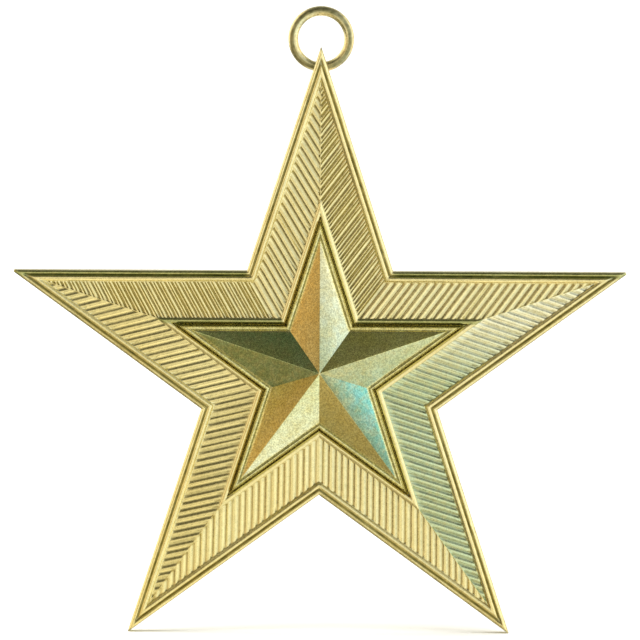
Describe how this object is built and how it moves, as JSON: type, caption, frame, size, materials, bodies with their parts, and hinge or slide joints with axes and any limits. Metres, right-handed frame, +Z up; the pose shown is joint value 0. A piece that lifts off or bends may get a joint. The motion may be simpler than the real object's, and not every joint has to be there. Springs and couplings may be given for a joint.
{
  "type": "military service medal",
  "caption": "Five-pointed star medal of gilt brass with a double rim, fluted field and raised faceted centre star, hung from a swinging jump ring.",
  "frame": {"origin": "centre of the star, on the flat round pad of its reverse", "axes": "+Z up along the top arm, -Y out of the front of the medal, +X to the right of someone facing the front"},
  "size_m": [0.049, 0.0055, 0.0502],
  "materials": {
    "star": "satin gilt with brighter rims and darker lines in its flutes",
    "centre_star": "burnished gilt with fine grain",
    "pins": "hammered brass",
    "eyelet": "satin brass with braze round its foot",
    "ring": "drawn wire, softly polished"
  },
  "bodies": {
    "star": {"star_body": "star", "centre_star": "centre_star", "centre_star_pins": "pins", "suspension_eyelet": "eyelet"},
    "ring": {"jump_ring": "ring"}
  },
  "joints": [
    {"name": "ring_swing", "type": "hinge", "parent": "star", "child": "ring", "pos_m": [0, 0.00045, 0.0243], "axis": [1, 0, 0], "range_deg": [-180, 130]}
  ]
}
